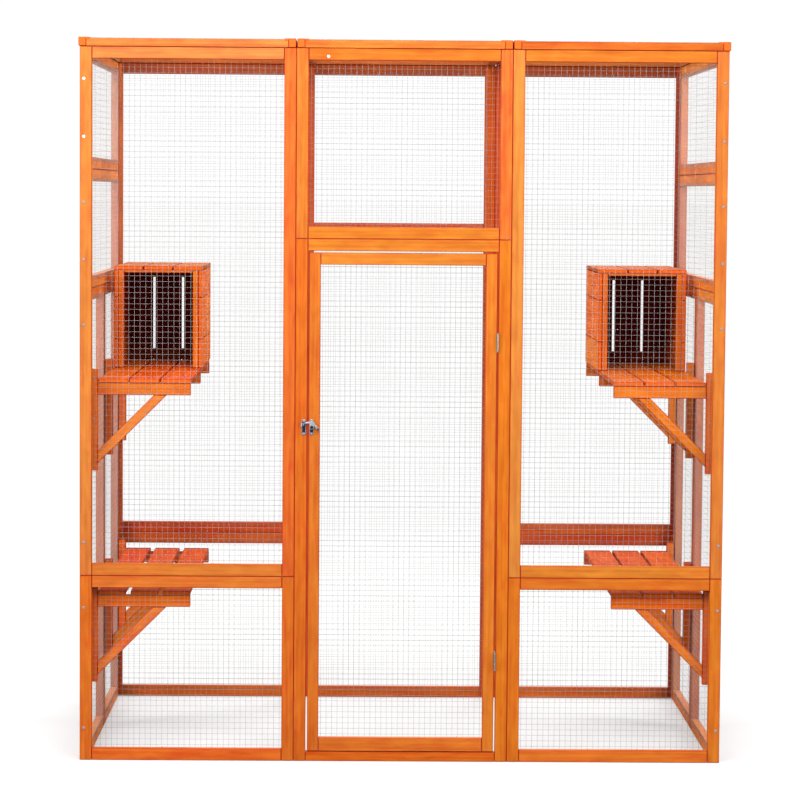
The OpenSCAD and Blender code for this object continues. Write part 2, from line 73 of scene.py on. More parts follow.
class Run(Enum):
    """Direction that a board's length runs in."""

    ACROSS = 0
    DEPTH = 1
    UPRIGHT = 2


class Facing(Enum):
    """A wall or the roof: its level axis, its other axis and the way from a frame to its net."""

    FRONT = ((1, 0, 0), (0, 0, 1), (0, 1, 0))
    BACK = ((1, 0, 0), (0, 0, 1), (0, -1, 0))
    LEFT = ((0, 1, 0), (0, 0, 1), (1, 0, 0))
    RIGHT = ((0, 1, 0), (0, 0, 1), (-1, 0, 0))
    ROOF = ((1, 0, 0), (0, 1, 0), (0, 0, 1))

    @property
    def axes(self) -> tuple[Vector, ...]:
        """The three directions as vectors."""
        return tuple(Vector(way) for way in self.value)


class Side(Enum):
    """Left or right half of the cage."""

    LEFT = -1
    RIGHT = 1

    @property
    def word(self) -> str:
        """The side's word in the nodes' names."""
        return self.name.lower()


def linear(code: str) -> tuple[float, float, float, float]:
    """Turns an sRGB hex value into a linear colour.

    Args:
        code: Six hex digits, with or without a leading mark.

    Returns:
        Red, green, blue and an alpha of one.
    """
    digits = code.lstrip("#")
    parts = [int(digits[i : i + 2], 16) / 255 for i in (0, 2, 4)]
    red, green, blue = (p / 12.92 if p <= 0.04045 else ((p + 0.055) / 1.055) ** 2.4 for p in parts)
    return red, green, blue, 1.0


def add_node(
    tree: NodeTree, kind: str, *values: object, at: Inputs | None = None, **settings: object
) -> Node:
    """Adds a node with its settings and links.

    Args:
        tree: The node tree.
        kind: The node's type name.
        values: What its sockets get in their order. A socket is linked, a node is linked by its
            first output, and anything else is set.
        at: What other sockets get, by name or index.
        settings: Properties to set on the node.

    Returns:
        The new node.
    """
    node = tree.nodes.new(kind)
    for name, value in settings.items():
        setattr(node, name, value)
    for key, value in (*enumerate(values), *(at or {}).items()):
        source = value.outputs[0] if isinstance(value, Node) else value
        if isinstance(source, NodeSocket):
            tree.links.new(source, node.inputs[key])
        else:
            node.inputs[key].default_value = source
    return node


@dataclass(frozen=True)
class Finish:
    """A procedural finish, whose material is made once."""

    name: str

    @cached_property
    def material(self) -> Material:
        """Builds the material.

        Returns:
            The material, with the shader that its finish describes.
        """
        material = bpy.data.materials.new(self.name)
        material.use_nodes = True
        material.node_tree.nodes.clear()
        add = partial(add_node, material.node_tree)
        shader = add("ShaderNodeBsdfPrincipled", at=self.inputs(add))
        add("ShaderNodeOutputMaterial", shader)
        return material

    def inputs(self, add: Callable[..., Node]) -> Inputs:
        """Adds the finish's nodes.

        Args:
            add: Adds a node to the material's tree.

        Returns:
            What the shader's sockets get.
        """
        raise NotImplementedError


@dataclass(frozen=True)
class Bump:
    """A surface's relief: how strongly it shows, and its depth in millimetres."""

    strength: float
    depth: float

    def sockets(self, height: Node) -> Inputs:
        """What a bump node's sockets get for a height."""
        return {"Strength": self.strength, "Distance": self.depth * MM, "Height": height}


@dataclass(frozen=True)
class Patch:
    """A soft pattern in the stain: its patches' size, and how broken and how wavy they are."""

    length: float
    width: float
    detail: float = 0.0
    waver: float = 0.0

    @property
    def per_metre(self) -> Triple:
        """Scales that turn metres along, across and through a board into patches."""
        return 1000 / self.length, 1000 / self.width, 1000 / self.width


@dataclass(frozen=True)
class StainedTimber(Finish):
    """Planed softwood under a translucent orange-brown stain.

    The early wood drinks the stain unevenly, so the eye sees soft clouds that run with the grain,
    redder flushes, faint rings and streaks, a few small knots, and dark edges and ends where the
    stain collects. Real rings and streaks are finer than a pixel, so both are drawn coarser.
    """

    light: str
    dark: str
    end: str = "#B64E10"
    pooled: str = "#8A2606"
    knot: str = "#8C3C0C"
    arris: str = "#8A2204"
    figure: Patch = Patch(190.0, 13.0, 2.0, 0.7)
    cloud: Patch = Patch(62.0, 24.0, 1.0, 0.5)
    flush: Patch = Patch(95.0, 20.0, 2.0, 0.9)
    streak: Patch = Patch(90.0, 3.0, 2.0)
    blotch: Patch = Patch(150.0, 45.0, 1.0)
    ring: Patch = Patch(900.0, 34.0)
    knots: Patch = Patch(260.0, 120.0)
    ring_look: tuple[float, ...] = (0.9, 7.0, 2.0, 1.6)  # scale, distortion, detail and its scale
    shares: tuple[float, ...] = (0.5, 0.42, 0.09, 0.16)  # figure, cloud, rings and streak
    tone_ends: tuple[float, float] = (0.44, 0.74)
    knot_edge: float = 13.0
    patchiness: float = 0.24
    flush_gain: float = 6.0
    flush_from: float = 0.52
    redness: float = 0.007
    end_dark: float = 2.2
    pooling: float = 0.8
    arris_share: float = 0.9
    bump: Bump = Bump(0.35, 0.4)
    roughness: float = 0.5
    streak_roughness: float = 0.16
    sheen: float = 0.1

    def inputs(self, add: Callable[..., Node]) -> Inputs:
        """Adds the nodes, which read the boards' own grain, stain and cut.

        Args:
            add: Adds a node to the material's tree.

        Returns:
            What the shader's sockets get.
        """
        grain, stain, cut = (
            add("ShaderNodeAttribute", attribute_name=name).outputs["Vector"]
            for name in Joinery.LAYERS
        )
        stain = add("ShaderNodeSeparateXYZ", stain).outputs
        cut = add("ShaderNodeSeparateXYZ", cut).outputs
        kinds = (self.figure, self.cloud, self.flush, self.streak, self.blotch)
        *places, ring_place, knot_place = (
            add("ShaderNodeVectorMath", grain, kind.per_metre, operation="MULTIPLY")
            for kind in (*kinds, self.ring, self.knots)
        )
        figure, cloud, flush, streak, blotch = (
            add(
                "ShaderNodeTexNoise",
                place,
                at={"Scale": 1.0, "Detail": kind.detail, "Distortion": kind.waver},
            )
            for kind, place in zip(kinds, places, strict=True)
        )
        rings = add(
            "ShaderNodeTexWave", ring_place, *self.ring_look, wave_type="BANDS", bands_direction="Y"
        ).outputs["Fac"]
        tone: Node | float = 0.0
        for part, share in zip((figure, cloud, rings, streak), self.shares, strict=True):
            tone = add("ShaderNodeMath", part, share, tone, operation="MULTIPLY_ADD")
        ramp = add("ShaderNodeValToRGB", tone)
        stops = zip(ramp.color_ramp.elements, self.tone_ends, (self.light, self.dark), strict=True)
        for stop, place, colour in stops:
            stop.position, stop.color = place, linear(colour)

        spots = add("ShaderNodeTexVoronoi", knot_place, at={"Scale": 1.0})
        fade = {"operation": "MULTIPLY_ADD", "use_clamp": True}
        knot = add("ShaderNodeMath", spots, -self.knot_edge, 1.0, **fade)
        knotted = add("ShaderNodeMix", knot, at={6: ramp, 7: linear(self.knot)}, data_type="RGBA")
        least = 1 - self.patchiness / 2
        patchy = add("ShaderNodeMath", blotch, self.patchiness, least, operation="MULTIPLY_ADD")
        least = -self.flush_gain * self.flush_from
        redder = add("ShaderNodeMath", flush, self.flush_gain, least, **fade)
        hue = add("ShaderNodeMath", redder, -self.redness, 0.5, operation="MULTIPLY_ADD")
        coloured = add(
            "ShaderNodeHueSaturation",
            at={
                "Hue": add("ShaderNodeMath", stain[1], hue, operation="ADD"),
                "Saturation": add("ShaderNodeMath", stain[2], 1.0, operation="ADD"),
                "Value": add("ShaderNodeMath", stain[0], patchy, operation="ADD"),
                "Color": knotted.outputs[2],
            },
        ).outputs[0]

        nearest = add("ShaderNodeMath", cut[0], cut[1], operation="MINIMUM")
        near_end = add("ShaderNodeMath", nearest, -1 / (self.end_dark * MM), 1.0, **fade)
        is_arris = add("ShaderNodeMath", cut[2], Joinery.ARRIS, 0.1, operation="COMPARE")
        is_end = add("ShaderNodeMath", cut[2], 0.75, operation="GREATER_THAN")
        for where, share, colour in (
            (is_arris, self.arris_share, self.arris),
            (near_end, self.pooling, self.pooled),
            (is_end, 1.0, self.end),
        ):
            part = add("ShaderNodeMath", where, share, operation="MULTIPLY")
            mix = add("ShaderNodeMix", part, at={6: coloured, 7: linear(colour)}, data_type="RGBA")
            coloured = mix.outputs[2]

        raised = add("ShaderNodeMath", streak, figure, operation="ADD")
        height = add("ShaderNodeMath", raised, knot, operation="SUBTRACT")
        smoothest = self.roughness - self.streak_roughness / 2
        rough = add(
            "ShaderNodeMath", streak, self.streak_roughness, smoothest, operation="MULTIPLY_ADD"
        )
        return {
            "Base Color": coloured,
            "Roughness": rough,
            "IOR": 1.5,
            "Specular IOR Level": self.sheen,
            "Normal": add("ShaderNodeBump", at=self.bump.sockets(height)),
        }


@dataclass(frozen=True)
class ZincSteel(Finish):
    """Steel under hot-dip or plated zinc.

    Zinc dulls to pale grey crystals, so the eye sees soft patches and broken, satin highlights. The
    grain inside the crystals is drawn coarser than the real one, so that it shows.
    """

    pale: str
    dull: str
    patch: float = 3.0
    roughness: float = 0.42
    metallic: float = 0.85
    shade_ends: tuple[float, float] = (0.1, 0.6)
    grains_across: float = 4.0
    roughness_range: float = 0.2
    bump: Bump = Bump(0.15, 0.05)

    def inputs(self, add: Callable[..., Node]) -> Inputs:
        """Adds the nodes, on Object coordinates.

        Args:
            add: Adds a node to the material's tree.

        Returns:
            What the shader's sockets get.
        """
        place = add("ShaderNodeTexCoord").outputs["Object"]
        scale = 1000 / self.patch
        patches = add("ShaderNodeTexVoronoi", place, at={"Scale": scale})
        grain = {"Scale": self.grains_across * scale, "Detail": 2.0}
        fine = add("ShaderNodeTexNoise", place, at=grain)
        shade = add("ShaderNodeMath", patches, fine, operation="MULTIPLY")
        ramp = add("ShaderNodeValToRGB", shade)
        stops = zip(ramp.color_ramp.elements, self.shade_ends, (self.pale, self.dull), strict=True)
        for stop, spot, colour in stops:
            stop.position, stop.color = spot, linear(colour)
        smoothest = self.roughness - self.roughness_range / 2
        rough = add(
            "ShaderNodeMath", fine, self.roughness_range, smoothest, operation="MULTIPLY_ADD"
        )
        return {
            "Base Color": ramp,
            "Metallic": self.metallic,
            "Roughness": rough,
            "Normal": add("ShaderNodeBump", at=self.bump.sockets(fine)),
        }


@dataclass(frozen=True)
class MouldedPlastic(Finish):
    """Dark moulded plastic: a fine matt grain and a soft sheen.

    The grain is drawn coarser than the real tenth of a millimetre, so that it shows.
    """

    colour: str
    worn: str
    grain: float = 0.6
    roughness: float = 0.48
    bump: Bump = Bump(0.2, 0.05)

    def inputs(self, add: Callable[..., Node]) -> Inputs:
        """Adds the nodes, on Object coordinates.

        Args:
            add: Adds a node to the material's tree.

        Returns:
            What the shader's sockets get.
        """
        place = add("ShaderNodeTexCoord").outputs["Object"]
        grain = add("ShaderNodeTexNoise", place, at={"Scale": 1000 / self.grain, "Detail": 1.0})
        colours = {6: linear(self.colour), 7: linear(self.worn)}
        coloured = add("ShaderNodeMix", grain, at=colours, data_type="RGBA").outputs[2]
        return {
            "Base Color": coloured,
            "Roughness": self.roughness,
            "IOR": 1.49,
            "Normal": add("ShaderNodeBump", at=self.bump.sockets(grain)),
        }


@dataclass(frozen=True)
class StudioFloor(Finish):
    """Frosted sheet of a studio light table, white like the backdrop, with a barely visible mottle.

    The glow shows to the eye and lights nothing, so the enclosure keeps its own light and shade. It
    is weaker where the lamps already whiten the sheet, so the net's wires show against it.
    """

    name: str = "frosted_light_table_floor"
    pale: str = "#8E8E8E"
    mottle: str = "#8B8B8B"
    mottles_per_metre: float = 1.4
    glow_near: float = 0.41
    glow_far: float = 0.7
    lamplit_m: float = 2.0
    unlit_m: float = 7.5
    roughness: float = 0.85
    sheen: float = 0.2

    def inputs(self, add: Callable[..., Node]) -> Inputs:
        """Adds the nodes, with the glow by the distance from the enclosure.

        Args:
            add: Adds a node to the material's tree.

        Returns:
            What the shader's sockets get.
        """
        place = add("ShaderNodeTexCoord").outputs["Object"]
        mottling = {"Scale": self.mottles_per_metre, "Detail": 2.0}
        cloud = add("ShaderNodeTexNoise", place, at=mottling)
        colours = {6: linear(self.pale), 7: linear(self.mottle)}
        coloured = add("ShaderNodeMix", cloud, at=colours, data_type="RGBA").outputs[2]
        seen = add("ShaderNodeLightPath").outputs["Is Camera Ray"]
        away = add("ShaderNodeVectorMath", place, operation="LENGTH").outputs["Value"]
        reach = (self.lamplit_m, self.unlit_m, self.glow_near, self.glow_far)
        spread = add("ShaderNodeMapRange", away, *reach, interpolation_type="SMOOTHSTEP")
        return {
            "Base Color": coloured,
            "Roughness": self.roughness,
            "Specular IOR Level": self.sheen,
            "Emission Color": WHITE,
            "Emission Strength": add("ShaderNodeMath", seen, spread, operation="MULTIPLY"),
        }


class Finishes:
    """The finishes by the record's material slot, with the small parts' own ones beside them."""

    BY_SLOT: dict[str, Finish] = {
        "cage_timber": StainedTimber("orange_stained_softwood_front", "#AB5B18", "#9A450D"),
        "door_timber": StainedTimber("amber_stained_softwood_door", "#A85D1A", "#9A4710"),
        # The back's boards take a darker, redder copy of the stain as painted shade.
        "back_timber": StainedTimber("orange_stained_softwood_back", "#A24310", "#903308"),
        "plank_timber": StainedTimber("orange_stained_planks", "#B8520F", "#A13D08", sheen=0.02),
        "house_timber": StainedTimber(
            "orange_stained_house_boards", "#B6601A", "#A24A10", sheen=0.02
        ),
        "net_wire": ZincSteel("galvanised_net_wire", "#787474", "#5E5A5A", 4.0, 0.5, 0.3),
        "hinge_steel": ZincSteel("zinc_plated_hinge", "#8A8682", "#66625E", 5.0, 0.45),
        "latch_steel": ZincSteel("zinc_plated_latch", "#B4B8BE", "#6A6E74", 6.0, 0.3, 0.6),
    }
    # The side nets' wire is paler than the front's as painted light.
    SIDE_WIRE = ZincSteel("galvanised_side_net_wire", "#8E8A87", "#726E6B", 4.0, 0.5, 0.3)
    # Latch plates: rims of pale zinc lightened and blued as a painted highlight; dished middles
    # near black as painted shade and dark reflection.
    PLATE_RIM = ZincSteel("polished_plate_rim", "#94A0B0", "#6E7886", 3.0, 0.28, 0.6)
    PLATE_DISH = ZincSteel("tarnished_plate_dish", "#26282C", "#141518", 2.0, 0.4, 0.6)
    # Screws: a near-white head as a painted glint, a grey head as painted shade, and a grey recess
    # as painted shade.
    SCREW = ZincSteel("bright_zinc_screw", "#F6F8FF", "#E4E8F2", 2.0, 0.3, 0.2)
    DULL_SCREW = ZincSteel("dulled_zinc_screw", "#7E8698", "#626A7A", 2.0, 0.4, 0.3)
    RECESS = MouldedPlastic("shadowed_screw_recess", "#8E929A", "#A4A8B0")
    KNOB = MouldedPlastic("dark_moulded_knob", "#2A2624", "#3A3430")


def add_object(name: str, data: ID) -> Object:
    """Adds an object with its mesh, camera or light to the scene."""
    bpy.context.scene.collection.objects.link(made := bpy.data.objects.new(name, data))
    return made


def add_mesh(name: str, shape: BMesh, materials: Iterable[Material]) -> Object:
    """Turns a mesh into an object.

    Args:
        name: Its name.
        shape: Its mesh, which is freed.
        materials: Its materials.

    Returns:
        The object.
    """
    data = bpy.data.meshes.new(name)
    shape.to_mesh(data)
    shape.free()
    for material in materials:
        data.materials.append(material)
    return add_object(name, data)


class SubAssembly:
    """What the sub-assemblies share: the frame's facts and the way to place a piece."""

    SLOTS: dict[str, str] = {s["node"]: s["material_slot"] for s in frame["record"]["subparts"]}
    BODIES: dict[str, str] = {
        n: body for body, nodes in frame["record"]["behaviour"]["bodies"].items() for n in nodes
    }

    def build(self) -> None:
        """Builds the pieces and dresses them."""
        raise NotImplementedError

    def place(
        self,
        name: str,
        shape: BMesh,
        node: str,
        materials: Sequence[Material] = (),
        stands_for: bool = True,
    ) -> None:
        """Turns a mesh into a piece that rides with a node's body.

        Args:
            name: The piece's name.
            shape: Its mesh, which is freed.
            node: The node that it stands for or stands on.
            materials: Its materials; without any, it has its slot's.
            stands_for: Whether it replaces the node.
        """
        slot, body = self.SLOTS[node], self.BODIES[node]
        piece = add_mesh(name, shape, materials or [Finishes.BY_SLOT[slot].material])
        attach(piece, body)
        if stands_for:
            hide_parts(node)
        LOG.info("%s: %d faces, on body %s", name, len(piece.data.polygons), body)


def edges_of(owners: Iterable[BMVert | BMFace]) -> list[BMEdge]:
    """Each edge of some corners or faces once, in a fixed order."""
    found = (own.link_edges if isinstance(own, BMVert) else own.edges for own in owners)
    return list(dict.fromkeys(edge for edges in found for edge in edges))


def ease_edges(
    shape: BMesh, edges: Iterable[BMEdge], width: float, segments: int = 2
) -> set[BMFace]:
    """Rounds edges.

    Args:
        shape: The mesh.
        edges: Its edges to round.
        width: Width of the rounding in metres.
        segments: Its facets.

    Returns:
        The new faces.
    """
    made = bmesh.ops.bevel(
        shape,
        geom=list(edges),
        offset=width,
        offset_type="OFFSET",
        segments=segments,
        profile=0.5,
        affect="EDGES",
        material=-1,
        clamp_overlap=True,
    )
    return set(made["faces"])


def grow(
    shape: BMesh, faces: list[BMFace], way: Vector, keep: bool = True
) -> tuple[list[BMVert], list[BMFace]]:
    """Extrudes faces.

    Args:
        shape: The mesh.
        faces: Its faces to extrude.
        way: How far they move.
        keep: Whether the old faces stay.

    Returns:
        The moved corners and the new faces.
    """
    made = bmesh.ops.extrude_face_region(shape, geom=faces, use_keep_orig=keep)["geom"]
    moved = [g for g in made if isinstance(g, BMVert)]
    bmesh.ops.translate(shape, verts=moved, vec=way)
    return moved, [g for g in made if isinstance(g, BMFace)]


def add_round(
    shape: BMesh,
    foot: Vector,
    reach: Vector,
    wide: float,
    taper: float = 1.0,
    segments: int = 24,
    material: int = 0,
) -> set[BMFace]:
    """Adds a round bar, boss or head.

    Args:
        shape: The mesh to add to.
        foot: The middle of its foot.
        reach: The way from there to the middle of its tip.
        wide: Its diameter at the foot, in millimetres.
        taper: Its diameter at the tip, as a share of the foot's.
        segments: Its facets.
        material: The index of its material.

    Returns:
        Its faces.
    """
    radius = wide / 2 * MM
    turn = Vector((0, 0, 1)).rotation_difference(reach).to_matrix().to_4x4()
    made = bmesh.ops.create_cone(
        shape,
        cap_ends=True,
        segments=segments,
        radius1=radius,
        radius2=radius * taper,
        depth=reach.length,
        matrix=Matrix.Translation(foot + reach / 2) @ turn,
    )
    faces = {face for vert in made["verts"] for face in vert.link_faces}
    for face in faces:
        face.material_index = material
    return faces


def add_block(shape: BMesh, centre: Vector, size: Vector) -> list[BMEdge]:
    """Adds a square-edged block and gives its edges."""
    matrix = Matrix.Translation(centre) @ Matrix.Diagonal((*size, 1.0))
    return edges_of(bmesh.ops.create_cube(shape, size=1.0, matrix=matrix)["verts"])


def inset(box: Box, low: Sequence[float], high: Sequence[float]) -> Box:
    """A box inside another one.

    Args:
        box: The outer box.
        low: Millimetres from its lowest corner, or from its highest one where negative.
        high: The same for the inner box's highest corner; zero means the outer corner.

    Returns:
        The inner box.
    """
    bottom = Vector(box[low[i] < 0][i] + low[i] * MM for i in range(3))
    top = Vector(box[high[i] <= 0][i] + high[i] * MM for i in range(3))
    return bottom, top


@dataclass(frozen=True)
class Tone:
    """How one board's stain differs from its neighbours'."""

    value: float = 0.0
    hue: float = 0.0
    saturation: float = 0.0

    @property
    def shift(self) -> Vector:
        """The three differences as a vector."""
        return Vector((self.value, self.hue, self.saturation))


class Joinery:
    """Collects the boards of one timber piece in a mesh, with their grain as attributes.

    The cut attribute holds the distances to the two ends and a kind: FACE, ARRIS or END.
    """

    LAYERS = ("grain", "stain", "cut")
    FACE, ARRIS, END = 0.0, 0.5, 1.0
    EASE = 1.4 * MM
    PLACES = (9, 3, 3)
    VARIATION = (0.045, 0.005, 0.015)

    def __init__(self, name: str) -> None:
        """Starts an empty piece.

        Args:
            name: The piece's name, which also seeds its boards' variation.
        """
        self.shape = bmesh.new()
        self.grain, self.stain, self.cut = (
            self.shape.loops.layers.float_vector.new(layer) for layer in self.LAYERS
        )
        self.dressed = self.shape.faces.layers.int.new("dressed")
        self.luck = random.Random(name)

    def board(
        self, low: Vector, high: Vector, run: Run, tone: Tone = Tone(), ease: float = EASE
    ) -> None:
        """Adds a straight board with eased edges.

        Args:
            low: Its lowest corner.
            high: Its highest corner.
            run: The direction of its length.
            tone: How its stain differs.
            ease: Width of the eased edges.
        """
        edges = add_block(self.shape, (low + high) / 2, high - low)
        self._finish(edges, Vector(int(i == run.value) for i in range(3)), tone, ease)

    def shaped(
        self,
        corners: Iterable[Triple],
        through: Triple,
        along: Triple,
        tone: Tone = Tone(),
        ease: float = EASE,
    ) -> None:
        """Adds a board sawn to an outline.

        Args:
            corners: The outline's corners, in order.
            through: The extrusion from that outline to the far face.
            along: The direction of its grain.
            tone: How its stain differs.
            ease: Width of the eased edges; none if zero.
        """
        outline = self.shape.faces.new([self.shape.verts.new(c) for c in corners])
        grow(self.shape, [outline], Vector(through))
        faces = [f for f in self.shape.faces if not f[self.dressed]]
        bmesh.ops.recalc_face_normals(self.shape, faces=faces)
        self._finish(edges_of(faces), Vector(along).normalized(), tone, ease)

    def shade(self, way: Vector, tone: Tone) -> None:
        """Paints shade on the faces that look one way, by shifting their stain.

        Args:
            way: The direction that they face.
            tone: The painted shade, as a shift from their boards' stain.
        """
        self.shape.normal_update()
        for face in self.shape.faces:
            if face.normal.dot(way) > 0.5:
                for loop in face.loops:
                    loop[self.stain] = loop[self.stain] + tone.shift

    def _finish(self, edges: Iterable[BMEdge], along: Vector, tone: Tone, ease: float) -> None:
        """Eases a new board's edges and writes its grain, stain and cut ends.

        Args:
            edges: The board's edges.
            along: The direction of its grain.
            tone: How its stain differs.
            ease: Width of the eased edges.
        """
        arrises = ease_edges(self.shape, edges, ease) if ease > 0 else set()
        faces = [f for f in self.shape.faces if not f[self.dressed]]
        across = Vector((0, 0, 1)) if abs(along.z) < 0.5 else Vector((1, 0, 0))
        through = along.cross(across).normalized()
        across = through.cross(along)
        reach = [along.dot(vert.co) for f in faces for vert in f.verts]
        start, end = min(reach), max(reach)
        place = Vector(self.luck.uniform(0, most) for most in self.PLACES)
        mark = tone.shift + Vector(self.luck.uniform(-most, most) for most in self.VARIATION)
        for face in faces:
            face[self.dressed] = 1
            kind = self.END if abs(face.normal.dot(along)) > 0.9 else self.FACE
            if face in arrises:
                kind = self.ARRIS
            for loop in face.loops:
                spot = loop.vert.co
                far = along.dot(spot)
                loop[self.grain] = Vector((far, across.dot(spot), through.dot(spot))) + place
                loop[self.stain] = mark
                loop[self.cut] = Vector((far - start, end - far, kind))


@dataclass
class WallPanel(SubAssembly):
    """A panel frame: two full-height stiles with two rails butted between them."""

    node: str
    facing: Facing
    stile: float = 30.0
    head: float = 30.0
    foot: float = 30.0
    joint: float = 0.3
    tones: dict[str, Tone] = field(default_factory=dict)

    def build(self) -> None:
        """Builds the frame over its node."""
        work = Joinery(self.node)
        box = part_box(self.node)
        level = 0 if self.facing in (Facing.FRONT, Facing.BACK) else 1
        free = self.stile + self.joint
        for member, wide, tall, run in (
            ("low_stile", (0, self.stile), (0, 0), Run.UPRIGHT),
            ("high_stile", (-self.stile, 0), (0, 0), Run.UPRIGHT),
            ("foot", (free, -free), (0, self.foot), Run(level)),
            ("head", (free, -free), (-self.head, 0), Run(level)),
        ):
            low, high = [0, 0, tall[0]], [0, 0, tall[1]]
            low[level], high[level] = wide
            work.board(*inset(box, low, high), run, self.tones.get(member, Tone()))
        self.place(self.node.replace("_frame", "_timber"), work.shape, self.node)


@dataclass
class RoofPanel(SubAssembly):
    """A roof frame whose end rails pass under the lips of its side rails."""

    node: str
    side_w: float = 28.0
    end_w: float = 30.0
    end_h: float = 19.5
    lap: float = 9.0
    lip_h: float = 5.0
    joint: float = 0.3
    end_ease: float = 0.5
    front: Tone = Tone(-0.05, -0.002)
    # The rear end rail is darkened as painted shade.
    rear: Tone = Tone(-0.18, -0.001)

    def build(self) -> None:
        """Builds the roof frame over its node."""
        work = Joinery(self.node)
        low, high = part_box(self.node)
        slot_w = (self.lap + self.joint) * MM
        slot_l = (self.end_w + self.joint) * MM
        lip_z = high.z - self.lip_h * MM
        for x, inward in ((low.x, 1), (high.x, -1)):
            root = x + inward * (self.side_w * MM - slot_w)
            edge = x + inward * self.side_w * MM
            rail = Vector((min(x, root), low.y, low.z)), Vector((max(x, root), high.y, high.z))
            work.board(*rail, Run.DEPTH)
            front, rear = low.y + slot_l, high.y - slot_l
            lip = ((low.y, lip_z), (front, lip_z), (front, low.z), (rear, low.z))
            lip += ((rear, lip_z), (high.y, lip_z), (high.y, high.z), (low.y, high.z))
            work.shaped([(root, y, z) for y, z in lip], (edge - root, 0, 0), (0, 1, 0), ease=0)
        start = low.x + (self.side_w - self.lap) * MM
        stop = high.x - (self.side_w - self.lap) * MM
        step_z = lip_z - self.joint * MM
        top_z = low.z + self.end_h * MM
        rail = ((start, low.z), (stop, low.z), (stop, step_z), (stop - slot_w, step_z))
        rail += ((stop - slot_w, top_z), (start + slot_w, top_z), (start + slot_w, step_z))
        rail += ((start, step_z),)
        for y, tone in ((low.y, self.front), (high.y - self.end_w * MM, self.rear)):
            outline = [(x, y, z) for x, z in rail]
            through = (0, self.end_w * MM, 0)
            work.shaped(outline, through, (1, 0, 0), tone, self.end_ease * MM)
        self.place(self.node.replace("_frame", "_timber"), work.shape, self.node)


@dataclass
class WireNet(SubAssembly):
    """Welded wire net stapled to the inner faces of one wall's or the roof's frames."""

    node: str
    facing: Facing
    frames: Sequence[WallPanel | RoofPanel]
    pitch: float = 14.0
    wire: float = 0.65
    lap: float = 8.0
    seat: float = 0.3
    finish: ZincSteel | None = None
    staple_every: float = 140.0
    staple: Triple = (10.0, 1.1, 0.6)
    wire_facets: int = 6

    def build(self) -> None:
        """Builds the nets over their node."""
        shape = bmesh.new()
        for panel in self.frames:
            self._panel(shape, panel)
        dress = (self.finish.material,) if self.finish else ()
        self.place(self.node.replace("_net", "_wire_net"), shape, self.node, dress)

    def _panel(self, shape: BMesh, panel: WallPanel | RoofPanel) -> None:
        """Adds the net of one frame.

        Args:
            shape: The mesh to add to.
            panel: The frame that it is stapled to.
        """
        low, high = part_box(panel.node)
        level, rise, out = self.facing.axes
        if isinstance(panel, RoofPanel):
            sides, foot, head = panel.side_w + self.seat, panel.end_w, panel.end_w
            side_lap, face = 0.0, low.z + panel.end_h * MM
        else:
            sides, foot, head = panel.stile, panel.foot, panel.head
            side_lap, face = self.lap, max(low.dot(out), high.dot(out))
        u0 = low.dot(level) + (sides - side_lap) * MM
        u1 = high.dot(level) - (sides - side_lap) * MM
        v0 = low.dot(rise) + (foot - self.lap) * MM
        v1 = high.dot(rise) - (head - self.lap) * MM
        radius = self.wire / 2 * MM
        corner = level * u0 + rise * v0 + out * (face + self.seat * MM + radius)
        wide, tall = level * (u1 - u0), rise * (v1 - v0)
        # The second layer sinks a little into the first, where the wires are welded.
        self._wires(shape, corner, wide, tall)
        self._wires(shape, corner + out * (1.6 * radius), tall, wide)
        crowns = corner + out * (2.6 * radius)
        self._staples(shape, crowns, wide, tall)
        if self.facing is not Facing.ROOF:
            self._staples(shape, crowns, tall, wide)

    def _wires(self, shape: BMesh, corner: Vector, across: Vector, along: Vector) -> None:
        """Adds one layer of parallel wires.

        Args:
            shape: The mesh to add to.
            corner: The layer's corner.
            across: The way over all the wires.
            along: The way along a wire.
        """
        count = max(2, round(across.length / (self.pitch * MM)))
        for i in range(count + 1):
            foot = corner + across * (i / count)
            add_round(shape, foot, along, self.wire, segments=self.wire_facets)

    def _staples(self, shape: BMesh, corner: Vector, along: Vector, across: Vector) -> None:
        """Adds the staples' crowns along two of the net's edges.

        Args:
            shape: The mesh to add to.
            corner: The net's corner, at the crowns' depth.
            along: The way along these edges.
            across: The way from one edge to the other.
        """
        count = max(2, round(along.length / (self.staple_every * MM)))
        ways = (across.normalized(), along.normalized(), self.facing.axes[2])
        size = sum((way * length * MM for way, length in zip(ways, self.staple)), Vector())
        size = Vector(abs(v) for v in size)
        margin = self.lap * MM / 2
        for i in range(count):
            for edge in (margin, across.length - margin):
                centre = corner + along * ((i + 0.5) / count) + ways[0] * edge
                add_block(shape, centre, size)


def side_by_side(box: Box, count: int, slit: float) -> Iterable[Box]:
    """The boxes of equal boards across another box.

    Args:
        box: The box that they fill.
        count: How many there are.
        slit: The gap between two of them, in millimetres.

    Yields:
        Each board's box, from the left.
    """
    low, high = box
    width = (high.x - low.x - (count - 1) * slit * MM) / count
    for i in range(count):
        x = low.x + i * (width + slit * MM)
        yield Vector((x, low.y, low.z)), Vector((x + width, high.y, high.z))


@dataclass
class Shelf(SubAssembly):
    """Three planks that run from the front to the back."""

    node: str
    slit: float
    tone: Tone = Tone()
    count: int = 3

    def build(self) -> None:
        """Builds the planks over their node."""
        work = Joinery(self.node)
        for plank in side_by_side(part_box(self.node), self.count, self.slit):
            work.board(*plank, Run.DEPTH, self.tone)
        self.place(self.node + "_planks", work.shape, self.node)


